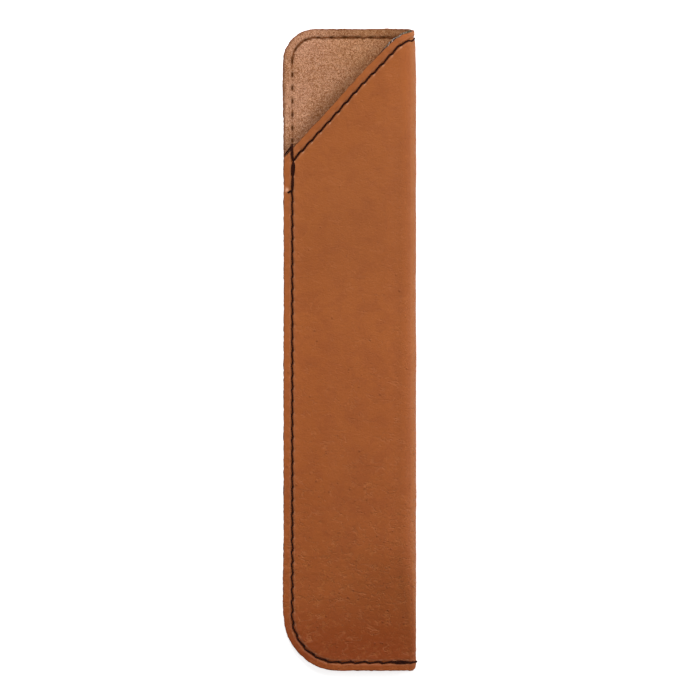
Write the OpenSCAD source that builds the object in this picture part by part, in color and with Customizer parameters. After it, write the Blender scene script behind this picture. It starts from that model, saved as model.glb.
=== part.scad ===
// Single pen sleeve: one sheet of three bonded layers, folded once and sewn shut with two seams.
// It lies on its back panel. The fold runs along +X, the mouth is at +Y and the back face is z = 0.

/* [Sleeve] */
// Length from the bottom edge to the top of the back panel
sleeve_len = 160; // [130:1:200]
// Width from the sewn left edge to the outside of the fold
sleeve_w = 33; // [28:0.5:42]
// Radius of the two rounded corners at the bottom left
bottom_corner_r = 13.7; // [8:0.1:15]
// Radius of the back panel's top left corner
top_corner_r = 8; // [5:0.1:12]
// Radius of the small corner where the fold meets the bottom edge
fold_corner_r = 1.2; // [0.3:0.1:1.3]

/* [Mouth] */
// Angle at which the front panel's edge runs down from the fold
mouth_angle = 46.5; // [30:0.5:52]
// Radius that leads the mouth's edge out of the back panel's top edge
mouth_lead_r = 12.5; // [8:0.5:18]

/* [Layers] */
// Thickness of the grained outer skin
skin_t = 0.6; // [0.6:0.05:0.9]
// Thickness of the backing between skin and lining
core_t = 0.2; // [0.15:0.05:0.4]
// Thickness of the suede lining
lining_t = 0.4; // [0.4:0.05:0.8]

/* [Pocket] */
// Height of the open space inside the fold, at rest
pocket_gap = 5.2; // [4.6:0.1:7]
// Height left between the suede faces where the fold is pinched at the bottom
pinch_gap = 0.3; // [0.2:0.05:0.6]
// Height left between the suede faces under the seams
seam_gap = 0.1; // [0.06:0.01:0.2]
// Length over which the pinched fold opens to the full pocket
opening_run = 28; // [20:1:50]
// Width of the flat strip that the closing seam presses down
strip_w = 4.2; // [3.4:0.1:5]
// Radius of the bend where the front panel rises from that strip
strip_bend_r = 12; // [6:1:18]

/* [Stitching] */
// Distance from an edge to its seam
seam_inset = 2.1; // [1.6:0.1:2.6]
// Stitch length of the mouth seam
mouth_pitch = 3.27; // [2.6:0.01:4]
// Stitch length of the closing seam
closing_pitch = 3.1; // [2.6:0.01:4]
// Diameter of the needle thread
needle_thread_d = 0.5; // [0.35:0.05:0.5]
// Diameter of the bobbin thread
bobbin_thread_d = 0.3; // [0.2:0.05:0.3]
// Diameter of a needle hole
hole_d = 0.8; // [0.6:0.05:1]
// Space between the ends of two stitches at their shared hole
stitch_dip = 0.3; // [0.2:0.05:0.4]
// Number of doubled stitches where the closing seam starts
start_backtack = 4; // [2:1:6]
// Number of doubled stitches where the closing seam ends
end_backtack = 2; // [1:1:4]
// Length of the first closing stitch that stands past the mouth's edge
lip_overhang = 1.2; // [1:0.1:1.6]
// Distance from the mouth seam's last hole to the line of the closing seam
seam_spacing = 1.1; // [0.9:0.1:1.6]
// Distance from the outside of the fold to the closing seam's last hole
closing_seam_end = 2; // [1.8:0.1:3]
// Length of the thread's cut end beside the backtack
tail_len = 1.1; // [0.6:0.1:1.6]

/* [Hidden] */

// Space between a thread and the sheet around it
thread_clear = 0.05;
// How far a stitch that lies flush stays under the surface
flush_under = 0.02;
// How far a post stands past the middle of its stitches
post_over = 0.1;
// Steps along the left corners, round the fold, down the mouth's lead and up the pinched length
corner_steps = 12;
fold_steps = 16;
lead_steps = 3;
rise_steps = 12;
// Shortest stretch that the lead's steps take up on the front panel
least_lead = 1;
// Turn of the face, in degrees, from which a stitch is bent, steps along it and sides of its tube
least_bend = 0.1;
bend_steps = 6;
tube_sides = 8;
// Between these turns round the fold the mouth's needle thread rises from flush to half sunk
sunk_turn = -80;
risen_turn = -10;
// How far down the side of the fold the last closing stitch wraps
wrap_angle = -35;
// How far beside and above the first run the second run of a backtack lies, in thread diameters
backtack_side = 0.76;
backtack_rise = 0.72;
round_fn = 32;

half_w = sleeve_w / 2;
half_len = sleeve_len / 2;
wall = skin_t + core_t + lining_t;
fold_r = wall + pocket_gap / 2;
pinch_r = wall + pinch_gap / 2;
strip_z = 2 * wall + seam_gap;
strip_x = strip_w - half_w;
seam_x = seam_inset - half_w;
pinch_top = strip_w - half_len;
open_y = pinch_top + opening_run;
last_row = rise_steps + 1;

function ease(f) = let (c = min(1, max(0, f))) c * c * (3 - 2 * c);

// Outer radius of the fold at height y of the sleeve
function radius_at(y) = pinch_r + (fold_r - pinch_r) * ease((y - pinch_top) / opening_run);

// Slope of the front panel: its face runs from the strip's edge to a tangent of the fold
function slope(r) =
  let (dx = half_w - r - strip_x, dz = r - strip_z)
  atan2(dz, dx) + asin(r / norm([dx, dz]));

// Where the front panel leaves the fold
function ramp_x(r) = half_w - r - r * sin(slope(r));

// Angle of the front panel's outward normal, and its height, at a place x left of the fold
function bend_reach(r) = strip_bend_r * tan(slope(r) / 2);
function front_lean(x, r) =
  let (from = x - strip_x + bend_reach(r))
  from <= 0 ? 0 : min(slope(r), asin(min(1, from / strip_bend_r)));
function front_z(x, r) =
  let (lean = front_lean(x, r))
  lean >= slope(r)
    ? strip_z + (x - strip_x) * tan(slope(r))
    : strip_z + strip_bend_r * (1 - cos(lean));
function front_face(x, r) = [x, front_z(x, r), 90 + front_lean(x, r)];
function fold_face(turn, r) = [half_w - r + r * cos(turn), r + r * sin(turn), turn];

// The outer face is unrolled into a flat cut. u is 0 at the outside of the fold, positive to the front.
function fold_start_u(r) = -r * PI / 2;
function fold_end_u(r) = r * (90 + slope(r)) * PI / 180;
function front_u(x, r) = fold_end_u(r) + (ramp_x(r) - x) / cos(slope(r));
function back_u(x, r) = fold_start_u(r) - (half_w - r - x);
function turn_at(u, r) = u * 180 / PI / r;
function face_at(u, r) =
  u < fold_start_u(r) ? [half_w - r + u - fold_start_u(r), 0, -90]
  : u <= fold_end_u(r) ? fold_face(turn_at(u, r), r)
  : front_face(ramp_x(r) - (u - fold_end_u(r)) * cos(slope(r)), r);
function outward(face) = [cos(face[2]), 0, sin(face[2])];

// A point at a depth below the outer face, which is [x, z, angle of the outward normal]
function below(face, y, depth) = [face[0], y, face[1]] - depth * outward(face);

// The mouth's edge in the flat cut: how far it has dropped below the back panel's top edge
lead_u = mouth_lead_r * sin(mouth_angle);
function mouth_drop(u) =
  u <= 0 ? 0
  : u < lead_u ? mouth_lead_r - sqrt(mouth_lead_r ^ 2 - u ^ 2)
  : mouth_lead_r * (1 - cos(mouth_angle)) + (u - lead_u) * tan(mouth_angle);

// How far a rounded corner cuts in, at a distance from its straight side
function corner_cut(along, r) = along >= r ? 0 : r - sqrt(max(0, r ^ 2 - (r - along) ^ 2));

// One section across the sheet at fold radius r, from the back's left edge round to the front's
left_xs = [for (k = [0:corner_steps]) bottom_corner_r * (1 - cos(90 * k / corner_steps)) - half_w];
lead_span = max(least_lead, (lead_u - fold_end_u(fold_r)) * cos(slope(fold_r)));
lead_xs = [for (k = [1:lead_steps]) ramp_x(fold_r) - lead_span * k / lead_steps];
function section(r) = concat(
  [for (x = left_xs) [x, 0, -90]],
  [for (k = [0:fold_steps]) fold_face(-90 + (180 + slope(r)) * k / fold_steps, r)],
  [for (x = lead_xs) front_face(x, r)],
  [for (k = [corner_steps:-1:0]) front_face(left_xs[k], r)]
);
open_section = section(fold_r);
pinched_section = section(pinch_r);
columns = len(open_section);
first_front = corner_steps + 1 + fold_steps + 1;

function column_u(i) =
  let (face = open_section[i])
  i <= corner_steps ? back_u(face[0], fold_r)
  : i < first_front ? face[2] * PI / 180 * fold_r
  : front_u(face[0], fold_r);
function top_y(i) =
  i <= corner_steps
    ? half_len - corner_cut(open_section[i][0] + half_w, top_corner_r)
    : half_len - mouth_drop(column_u(i));
function bottom_y(i) =
  let (x = pinched_section[i][0])
  corner_cut(x + half_w, bottom_corner_r) + corner_cut(half_w - x, fold_corner_r) - half_len;
function row_y(i, j) =
  j == last_row ? top_y(i) : bottom_y(i) + (open_y - bottom_y(i)) * j / rise_steps;

row_sections = [
  for (i = [0:columns - 1])
    [for (j = [0:last_row]) let (y = row_y(i, j)) [section(radius_at(y))[i], y]]
];
function sheet_points(depth) = [
  for (i = [0:columns - 1], j = [0:last_row])
    below(row_sections[i][j][0], row_sections[i][j][1], depth)
];

// A closed layer of the folded sheet between two depths below its outer face
module layer(outer, inner) {
  rows = last_row + 1;
  count = columns * rows;
  strip = [
    for (i = [0:columns - 2], j = [0:last_row - 1])
      let (a = i * rows + j)
      [a, a + rows, a + rows + 1, a + 1]
  ];
  out_faces = [for (q = strip, half = [0, 1]) [q[0], q[1 + half], q[2 + half]]];
  in_faces = [for (f = out_faces) [f[2] + count, f[1] + count, f[0] + count]];
  left = [for (j = [0:last_row - 1]) [j, j + 1, j + 1 + count, j + count]];
  right = [for (q = left) [for (k = [3:-1:0]) q[k] + (columns - 1) * rows]];
  low = [for (i = [0:columns - 2]) let (a = i * rows) [a, a + count, a + rows + count, a + rows]];
  high = [for (q = low) [for (k = [3:-1:0]) q[k] + last_row]];
  sides = [for (q = concat(left, right, low, high), half = [0, 1]) [q[0], q[1 + half], q[2 + half]]];
  polyhedron(concat(sheet_points(outer), sheet_points(inner)), concat(out_faces, in_faces, sides));
}

// The mouth seam's route in the flat cut: up the back panel's left side, round its corner, along
// the top, over the fold and down beside the slanted edge
mouth_end_u = front_u(seam_x + seam_spacing, fold_r);
lip_y = half_len - mouth_drop(front_u(seam_x, fold_r));
closing_start_y = lip_y + lip_overhang;
side_u = back_u(seam_x, fold_r);
turn_r = top_corner_r - seam_inset;
lead_seam_r = mouth_lead_r - seam_inset;
side_len = half_len - top_corner_r - closing_start_y - mouth_pitch;
turn_len = turn_r * PI / 2;
top_len = -side_u - turn_r;
lead_len = lead_seam_r * mouth_angle * PI / 180;
slant_len = (mouth_end_u - lead_seam_r * sin(mouth_angle)) / cos(mouth_angle);
mouth_len = side_len + turn_len + top_len + lead_len + slant_len;
mouth_count = round(mouth_len / mouth_pitch);
mouth_step = mouth_len / mouth_count;

function mouth_at(s) =
  let (
    turn_from = side_len,
    top_from = turn_from + turn_len,
    lead_from = top_from + top_len,
    slant_from = lead_from + lead_len,
    turned = (s - turn_from) / turn_r * 180 / PI,
    led = min(mouth_angle, (s - lead_from) / lead_seam_r * 180 / PI),
    run = max(0, s - slant_from)
  )
  s < turn_from ? [side_u, half_len - top_corner_r - turn_from + s]
  : s < top_from
    ? [side_u + turn_r * (1 - cos(turned)), half_len - top_corner_r + turn_r * sin(turned)]
  : s < lead_from ? [side_u + turn_r + s - top_from, half_len - seam_inset]
  : [
      lead_seam_r * sin(led) + run * cos(mouth_angle),
      half_len - mouth_lead_r + lead_seam_r * cos(led) - run * sin(mouth_angle)
    ];

// A thread lies flush in the back panel and in the suede, and half sunk in the front and the fold
function flush_depth(d) = d / 2 + flush_under;
function mouth_turn(s) = turn_at(mouth_at(s)[0], fold_r);
function mouth_depth(s, outer) =
  outer
    ? flush_depth(needle_thread_d) * (1 - ease((mouth_turn(s) - sunk_turn) / (risen_turn - sunk_turn)))
    : wall - flush_depth(bobbin_thread_d);
function mouth_face(s) = face_at(mouth_at(s)[0], fold_r);
function mouth_point(s, depth) = below(mouth_face(s), mouth_at(s)[1], depth);
function mouth_thread_point(s, outer) = mouth_point(s, mouth_depth(s, outer));

// A stitch is bent where the face turns between its two holes
function bent(i) =
  abs(mouth_face(i * mouth_step)[2] - mouth_face((i + 1) * mouth_step)[2]) > least_bend;

// The closing seam's route, seen from above: down the left side, round the corner, along the bottom
low_turn_r = bottom_corner_r - seam_inset;
down_len = closing_start_y + half_len - bottom_corner_r;
low_turn_len = low_turn_r * PI / 2;
along_len = sleeve_w - bottom_corner_r - closing_seam_end;
closing_len = down_len + low_turn_len + along_len;
closing_count = round(closing_len / closing_pitch);
closing_step = closing_len / closing_count;
lock_z = wall + seam_gap / 2;

function closing_at(s) =
  let (turned = (s - down_len) / low_turn_r * 180 / PI, along = s - down_len - low_turn_len)
  s < down_len ? [seam_x, closing_start_y - s]
  : along < 0
    ? [seam_x + low_turn_r * (1 - cos(turned)), bottom_corner_r - half_len - low_turn_r * sin(turned)]
  : [bottom_corner_r - half_w + along, seam_inset - half_len];
function closing_top(s) = let (p = closing_at(s)) [p[0], p[1], front_z(p[0], radius_at(p[1]))];
function closing_under(s, z) = let (p = closing_at(s)) [p[0], p[1], z];

// The last closing stitch wraps the pinched fold, from its last hole to the fold's side
wrap_y = seam_inset - half_len;
wrap_from = front_u(half_w - closing_seam_end, pinch_r);
wrap_to = wrap_angle * PI / 180 * pinch_r;
wrap_steps = 2 * bend_steps;
wrap_faces = [for (k = [0:wrap_steps]) face_at(wrap_from + (wrap_to - wrap_from) * k / wrap_steps, pinch_r)];
wrap_points = [for (face = wrap_faces) below(face, wrap_y, 0)];
wrap_normals = [for (face = wrap_faces) outward(face)];
function wrap_end(depth) = below(wrap_faces[wrap_steps], wrap_y, depth);

// A closed tube of any outline, swept along points with a given outward side
function unit(v) = v / norm(v);
module sweep(points, normals, outline) {
  last = len(points) - 1;
  sides = len(outline);
  rings = [
    for (i = [0:last])
      let (
        ahead = unit(points[min(i + 1, last)] - points[max(i - 1, 0)]),
        side = unit(cross(ahead, normals[i])),
        up = cross(side, ahead)
      )
      for (p = outline) points[i] + p[0] * side + p[1] * up
  ];
  walls = [
    for (i = [0:last - 1], k = [0:sides - 1])
      let (a = i * sides + k, b = i * sides + (k + 1) % sides)
      for (f = [[a, b + sides, a + sides], [a, b, b + sides]]) f
  ];
  ends = [[for (k = [sides - 1:-1:0]) k], [for (k = [0:sides - 1]) last * sides + k]];
  polyhedron(rings, concat(walls, ends));
}
function round_outline(d) = [
  for (k = [0:tube_sides - 1])
    d / 2 * [cos(360 * k / tube_sides), sin(360 * k / tube_sides)]
];
function slot_outline(d, depth) =
  let (half = d / 2 + thread_clear, low = -depth - half)
  [[half, low], [half, thread_clear], [-half, thread_clear], [-half, low]];

module aim(p, q) {
  v = q - p;
  translate(p) rotate([0, acos(v[2] / norm(v)), atan2(v[1], v[0])]) children();
}
module rod(p, q, d) {
  aim(p, q) cylinder(h = norm(q - p), d = d, $fn = round_fn);
}
module stitch(p, q, d) {
  length = norm(q - p);
  aim(p, q)
    rotate_extrude($fn = round_fn)
      intersection() {
        union() {
          square([d / 2, length]);
          circle(d = d, $fn = round_fn);
          translate([0, length]) circle(d = d, $fn = round_fn);
        }
        translate([0, -d]) square([d, length + 2 * d]);
      }
}

// Holes and beds that the threads need in every layer
post_d = hole_d - 2 * thread_clear;
mouth_marks = concat(
  [
    for (i = [0:mouth_count - 1], k = [0:bent(i) ? bend_steps - 1 : 0])
      (i + k / bend_steps) * mouth_step
  ],
  [mouth_len]
);
closing_marks = [for (i = [0:closing_count]) i * closing_step];
module needle_holes() {
  for (i = [0:mouth_count])
    rod(mouth_point(i * mouth_step, -post_over), mouth_point(i * mouth_step, wall + seam_gap / 2), hole_d);
  for (s = closing_marks)
    rod(closing_top(s) + [0, 0, post_over], closing_under(s, -post_over), hole_d);
  rod(wrap_end(-post_over), wrap_end(wall), hole_d);
}
module mouth_bed(depth, inward, outline) {
  sweep(
    [for (s = mouth_marks) mouth_point(s, depth)],
    [for (s = mouth_marks) inward * outward(mouth_face(s))],
    outline
  );
}
module closing_bed(points, side, outline) {
  sweep(points, [for (s = closing_marks) [0, 0, side]], outline);
}
module thread_beds() {
  flush_needle = slot_outline(needle_thread_d, flush_depth(needle_thread_d));
  flush_bobbin = slot_outline(bobbin_thread_d, flush_depth(bobbin_thread_d));
  half_sunk = slot_outline(needle_thread_d, 0);
  mouth_bed(0, 1, flush_needle);
  mouth_bed(wall, -1, flush_bobbin);
  closing_bed([for (s = closing_marks) closing_top(s)], 1, half_sunk);
  closing_bed([for (s = closing_marks) closing_under(s, 0)], -1, flush_bobbin);
  sweep(wrap_points, wrap_normals, half_sunk);
}
module sewn_layer(outer, inner) {
  difference() {
    layer(outer, inner);
    needle_holes();
    thread_beds();
  }
}

// One thread of the mouth seam: its stitches, and a post in each hole down to the other thread
module mouth_thread(d, outer) {
  over = outer ? post_over : -post_over;
  for (i = [0:mouth_count - 1]) {
    from = i * mouth_step + stitch_dip / 2;
    to = (i + 1) * mouth_step - stitch_dip / 2;
    marks = [for (k = [0:bend_steps]) from + (to - from) * k / bend_steps];
    if (bent(i))
      sweep(
        [for (s = marks) mouth_thread_point(s, outer)],
        [for (s = marks) outward(mouth_face(s))],
        round_outline(d)
      );
    else
      stitch(mouth_thread_point(from + d / 2, outer), mouth_thread_point(to - d / 2, outer), d);
  }
  for (i = [0:mouth_count])
    let (s = i * mouth_step)
    rod(mouth_point(s, mouth_depth(s, outer) - over), mouth_point(s, wall / 2), post_d);
}

// The closing seam's needle thread runs twice over its first and last stitches
function doubled(i) = i < start_backtack || i >= closing_count - end_backtack;
function closing_from(i, d) = i * closing_step + (stitch_dip + d) / 2;
function closing_to(i, d) = (i + 1) * closing_step - (stitch_dip + d) / 2;
module closing_needle(d) {
  rise = backtack_rise * d;
  for (i = [0:closing_count - 1]) {
    a = closing_top(closing_from(i, d));
    b = closing_top(closing_to(i, d));
    along = unit(b - a);
    side = backtack_side * d * (i % 2 == 0 ? 1 : -1);
    beside = [-along[1] * side, along[0] * side, rise];
    stitch(a, b, d);
    if (doubled(i)) stitch(a + beside, b + beside, d);
  }
  for (i = [0:closing_count])
    let (p = closing_top(i * closing_step), top = doubled(i) || doubled(i - 1) ? rise : post_over)
    rod(p + [0, 0, top], [p[0], p[1], lock_z], post_d);
  sweep(wrap_points, wrap_normals, round_outline(d));
  rod(wrap_end(-post_over), wrap_end(wall / 2), post_d);
  tail = closing_top(start_backtack * closing_step) + [0, 0, d / 2];
  stitch(tail, tail - [tail_len, 0, 0], d);
}
module closing_bobbin(d) {
  z = flush_depth(d);
  for (i = [0:closing_count - 1])
    stitch(closing_under(closing_from(i, d), z), closing_under(closing_to(i, d), z), d);
  for (s = closing_marks)
    rod(closing_under(s, z - post_over), closing_under(s, lock_z), post_d);
}

module outer_skin() {
  color("sienna") sewn_layer(0, skin_t);
}
module core_layer() {
  color("dimgray") sewn_layer(skin_t, skin_t + core_t);
}
module suede_lining() {
  color([0.7, 0.5, 0.38]) sewn_layer(skin_t + core_t, wall);
}
module mouth_needle_thread() {
  color([0.12, 0.05, 0.03]) mouth_thread(needle_thread_d, true);
}
module mouth_bobbin_thread() {
  color("saddlebrown") mouth_thread(bobbin_thread_d, false);
}
module closing_needle_thread() {
  color([0.12, 0.05, 0.03]) closing_needle(needle_thread_d);
}
module closing_bobbin_thread() {
  color("saddlebrown") closing_bobbin(bobbin_thread_d);
}

outer_skin();
core_layer();
suede_lining();
mouth_needle_thread();
mouth_bobbin_thread();
closing_needle_thread();
closing_bobbin_thread();
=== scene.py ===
import math
from collections import namedtuple

import bpy
import numpy as np
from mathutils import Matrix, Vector
from mathutils.geometry import delaunay_2d_cdt


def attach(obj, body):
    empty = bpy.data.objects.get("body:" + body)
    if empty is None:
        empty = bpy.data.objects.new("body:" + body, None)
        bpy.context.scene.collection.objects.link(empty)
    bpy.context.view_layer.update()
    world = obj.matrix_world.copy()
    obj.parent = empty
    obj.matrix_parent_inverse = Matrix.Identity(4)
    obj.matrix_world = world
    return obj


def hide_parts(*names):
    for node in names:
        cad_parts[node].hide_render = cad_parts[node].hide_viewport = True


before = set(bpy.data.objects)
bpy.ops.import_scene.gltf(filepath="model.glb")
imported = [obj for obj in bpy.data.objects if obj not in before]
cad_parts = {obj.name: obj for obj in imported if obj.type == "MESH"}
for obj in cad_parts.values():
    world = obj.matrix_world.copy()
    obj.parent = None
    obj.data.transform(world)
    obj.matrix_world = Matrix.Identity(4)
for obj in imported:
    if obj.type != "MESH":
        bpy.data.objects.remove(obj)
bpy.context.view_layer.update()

MM = 0.001
PI = math.pi
rng = np.random.default_rng(7)

# The sleeve's sizes, in millimetres
LEN, WID = 160.0, 33.0
HALF_L, HALF_W = LEN / 2, WID / 2
BOTTOM_R, TOP_R, FOLD_CORNER_R = 13.7, 8.0, 1.2
MOUTH_ANGLE, LEAD_R = math.radians(46.5), 12.5  # the slant, and the round that leads into it
SKIN, CORE, LINING = 0.6, 0.2, 0.4
WALL = SKIN + CORE + LINING
POCKET_GAP, PINCH_GAP, SEAM_GAP = 5.2, 0.3, 0.1  # between the panels
FOLD_R, PINCH_R = WALL + POCKET_GAP / 2, WALL + PINCH_GAP / 2
STRIP_W, STRIP_R = 4.2, 12.0  # the flat strip along the closing seam, and the bend beside it
STRIP_Z, STRIP_X = 2 * WALL + SEAM_GAP, STRIP_W - HALF_W
PINCH_TOP, OPEN_RUN = STRIP_W - HALF_L, 28.0  # above PINCH_TOP the pocket opens over OPEN_RUN
CROWN_H, CROWN_LEFT, CROWN_X, CROWN_RIGHT = 0.5, -9.0, 8.6, 12.8  # the front panel's crown
TOP_LEAN, TOP_LEAN_Y = 0.5, 67.0  # above TOP_LEAN_Y the fold leans in, by TOP_LEAN at the top
BOW_H, BOW_U, BOW_W = 0.33, 16.5, 5.0  # how far the middle of the slant stands up, where, how wide
INSET = 2.1  # of the seams from the cut
SEAM_X = INSET - HALF_W
LIP_OVERHANG = 1.2  # of the closing seam's first hole above the lip
CLOSING_END = 2.0  # of the closing seam's last hole from the fold
MOUTH_STITCHES, CLOSING_STITCHES = 31, 45
BACKTACK = [0.0, 4.4, 8.1, 11.5]  # the closing seam's first holes, before its even stitches
NEEDLE_D, BOBBIN_D = 0.5, 0.3

# How finely things are made
CUT_STEP, ROUTE_STEP, SEAM_SAMPLE = 0.3, 0.1, 0.2
NUDGE = 0.08  # to each side of a point, for the face's direction there
CHUNK = 4000  # points compared at a time
ROW_SHARE = 0.866  # of a grid's step, from one staggered row to the next
SMOOTH_ROUNDS = 12  # each takes in a point's two neighbours
OFF_SEAM, COVERED = 9.0, -99.0  # distances that stand for far from a seam, and not bare


def ease(f):
    """0 up to 0, 1 from 1 on, and a smooth way between."""
    c = np.clip(f, 0, 1)
    return c * c * (3 - 2 * c)


def bell(d, width):
    """1 at a distance of 0, falling off smoothly over a width."""
    return np.exp(-((d / width) ** 2))


def bells(d, pairs):
    """The sum of bells of some heights and widths."""
    return sum(height * bell(d, width) for height, width in pairs)


# The fold
def radius_at(y):
    return PINCH_R + (FOLD_R - PINCH_R) * ease((y - PINCH_TOP) / OPEN_RUN)


def slope(r):
    """The front panel's slope down to the seam's strip, for a fold of radius r."""
    dx, dz = HALF_W - r - STRIP_X, r - STRIP_Z
    return np.arctan2(dz, dx) + np.arcsin(r / np.hypot(dx, dz))


def ramp_x(r):
    return HALF_W - r - r * np.sin(slope(r))


LEAN = float(slope(FOLD_R))
U_BACK = FOLD_R * PI / 2  # in the flat, the fold goes from -U_BACK to U_FRONT
U_FRONT = FOLD_R * (PI / 2 + LEAN)
BACK_LEN = WID - FOLD_R
FRONT_LEN = float((ramp_x(FOLD_R) + HALF_W) / math.cos(LEAN))
U_LEFT, U_RIGHT = -U_BACK - BACK_LEN, U_FRONT + FRONT_LEN


def section(u, y):
    """The outer face's place across the sleeve and its height, at u in the flat cut."""
    r = radius_at(y)
    a = slope(r)
    xb = -HALF_W + (u - U_LEFT) / BACK_LEN * (WID - r)
    turn = -PI / 2 + (u + U_BACK) / (U_BACK + U_FRONT) * (PI + a)
    rx = ramp_x(r)
    xf = rx - (u - U_FRONT) / FRONT_LEN * (rx + HALF_W)
    bend = (xf - STRIP_X + STRIP_R * np.tan(a / 2)) / STRIP_R
    lean = np.arcsin(np.clip(bend, 0, np.sin(a)))
    zf = np.where(
        lean >= a - 1e-9,
        STRIP_Z + (xf - STRIP_X) * np.tan(a),
        STRIP_Z + STRIP_R * (1 - np.cos(lean)),
    )
    crown = np.where(
        xf < CROWN_X,
        ease((xf - CROWN_LEFT) / (CROWN_X - CROWN_LEFT)),
        1 - ease((xf - CROWN_X) / (CROWN_RIGHT - CROWN_X)),
    )
    zf = zf + CROWN_H * crown * ease((r - PINCH_R) / (FOLD_R - PINCH_R))
    on_back, on_front = u < -U_BACK, u > U_FRONT
    x = np.where(on_back, xb, np.where(on_front, xf, HALF_W - r + r * np.cos(turn)))
    z = np.where(on_back, 0.0, np.where(on_front, zf, r + r * np.sin(turn)))
    return x, z


def place(u, y, depth):
    """Points at a depth below the outer face."""
    u, y = np.broadcast_arrays(np.asarray(u, float), np.asarray(y, float))
    x, z = section(u, y)
    xa, za = section(u - NUDGE, y)
    xb, zb = section(u + NUDGE, y)
    tx, tz = xb - xa, zb - za
    t = np.hypot(tx, tz)
    x, z = x - depth * tz / t, z + depth * tx / t
    up = np.clip((y - TOP_LEAN_Y) / (HALF_L - TOP_LEAN_Y), 0, 1)
    x = x - TOP_LEAN * up**2 * np.clip((x + HALF_W) / WID, 0, 1) ** 3
    return np.stack([x, y, z], -1)


def front_u(x, y):
    """Where a point of the front panel, seen from above, lies in the flat."""
    rx = ramp_x(radius_at(y))
    return U_FRONT + (rx - x) / (rx + HALF_W) * FRONT_LEN


def back_u(x, y):
    """Where a point of the back panel, seen from above, lies in the flat."""
    return U_LEFT + (x + HALF_W) / (WID - radius_at(y)) * BACK_LEN


LEAD_U = LEAD_R * math.sin(MOUTH_ANGLE)


def bow(u):
    """How far the slant stands up past a straight line."""
    return BOW_H * bell(np.asarray(u, float) - BOW_U, BOW_W)


def mouth_drop(u):
    """How far the mouth's cut lies below the sleeve's top."""
    u = np.asarray(u, float)
    lead = LEAD_R - np.sqrt(np.maximum(0, LEAD_R**2 - np.clip(u, 0, LEAD_U) ** 2))
    return lead + np.maximum(0, u - LEAD_U) * math.tan(MOUTH_ANGLE) - bow(u)


def noise(u, v, seed):
    """Smooth noise from -1 to 1, from a hash of whole numbers."""
    i, j = np.floor(u).astype(np.int64), np.floor(v).astype(np.int64)
    fu, fv = ease(u - i), ease(v - j)

    def at(a, b):
        n = (a * 374761393 + b * 668265263 + seed * 974634777) & 0x7FFFFFFF
        n = ((n ^ (n >> 13)) * 1274126177) & 0x7FFFFFFF
        return (n ^ (n >> 16)) / 0x3FFFFFFF - 1

    low = at(i, j) * (1 - fu) + at(i + 1, j) * fu
    high = at(i, j + 1) * (1 - fu) + at(i + 1, j + 1) * fu
    return low * (1 - fv) + high * fv


def layered(u, v, seed, octaves):
    """Noise with finer noise on it, each half as high as the one before."""
    total, size = 0, 1
    for k in range(octaves):
        total = total + size * noise(u * 2**k, v * 2**k, seed + 31 * k)
        size /= 2
    return total


# The cut's outline
BACK_CUT, MOUTH_CUT, FRONT_CUT, BOTTOM_CUT = range(4)


def quarter(r):
    """Angles of a quarter turn, spaced for a round of radius r."""
    return np.linspace(0, PI / 2, int(r * PI / 2 / CUT_STEP), endpoint=False)


def corner_cut(along, r):
    """How far a round of radius r cuts into an edge, at a distance along from the corner."""
    along = np.clip(along, 0, r)
    return r - np.sqrt(np.maximum(0, r * r - (r - along) ** 2))


def outline():
    """The cut's outline in the flat, anticlockwise, and what each of its points belongs to."""
    parts = []

    def line(a, b, tag):
        a, b = np.array(a), np.array(b)
        n = max(2, int(np.hypot(*(b - a)) / CUT_STEP))
        f = np.linspace(0, 1, n, endpoint=False)[:, None]
        parts.append((a + f * (b - a), tag))

    t = quarter(BOTTOM_R)
    y = -HALF_L + BOTTOM_R * (1 - np.sin(t))
    x = -HALF_W + BOTTOM_R * (1 - np.cos(t))
    corner_x, corner_y = BOTTOM_R - HALF_W, BOTTOM_R - HALF_L
    us = np.arange(float(back_u(corner_x, -HALF_L)), float(front_u(corner_x, -HALF_L)), CUT_STEP)
    xs, _ = section(us, np.full_like(us, -HALF_L))
    parts.append((np.stack([us, -HALF_L + corner_cut(HALF_W - xs, FOLD_CORNER_R)], -1), BOTTOM_CUT))
    parts.append((np.stack([front_u(x, y), y], -1)[::-1], BOTTOM_CUT))
    line((U_RIGHT, corner_y), (U_RIGHT, HALF_L - float(mouth_drop(U_RIGHT))), FRONT_CUT)
    us = np.arange(U_RIGHT, 0, -CUT_STEP * math.cos(MOUTH_ANGLE))
    parts.append((np.stack([us, HALF_L - mouth_drop(us)], -1), MOUTH_CUT))
    line((0, HALF_L), (U_LEFT + TOP_R, HALF_L), BACK_CUT)
    t = quarter(TOP_R)[::-1]
    top_corner = [U_LEFT + TOP_R * (1 - np.cos(t)), HALF_L - TOP_R + TOP_R * np.sin(t)]
    parts.append((np.stack(top_corner, -1), BACK_CUT))
    line((U_LEFT, HALF_L - TOP_R), (U_LEFT, corner_y), BACK_CUT)
    parts.append((np.stack([back_u(x, y), y], -1), BOTTOM_CUT))
    points = np.concatenate([p for p, _ in parts])
    tags = np.concatenate([np.full(len(p), tag) for p, tag in parts])
    return points, tags


CUT, CUT_TAG = outline()
CUT_U, CUT_Y = CUT[:, 0], CUT[:, 1]
cut_ahead = np.roll(CUT, -1, 0) - np.roll(CUT, 1, 0)
cut_ahead /= np.linalg.norm(cut_ahead, axis=1)[:, None]
CUT_OUT = np.stack([cut_ahead[:, 1], -cut_ahead[:, 0]], -1)
CUT_S = np.concatenate([[0], np.cumsum(np.linalg.norm(np.diff(CUT, axis=0), axis=1))])

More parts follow.
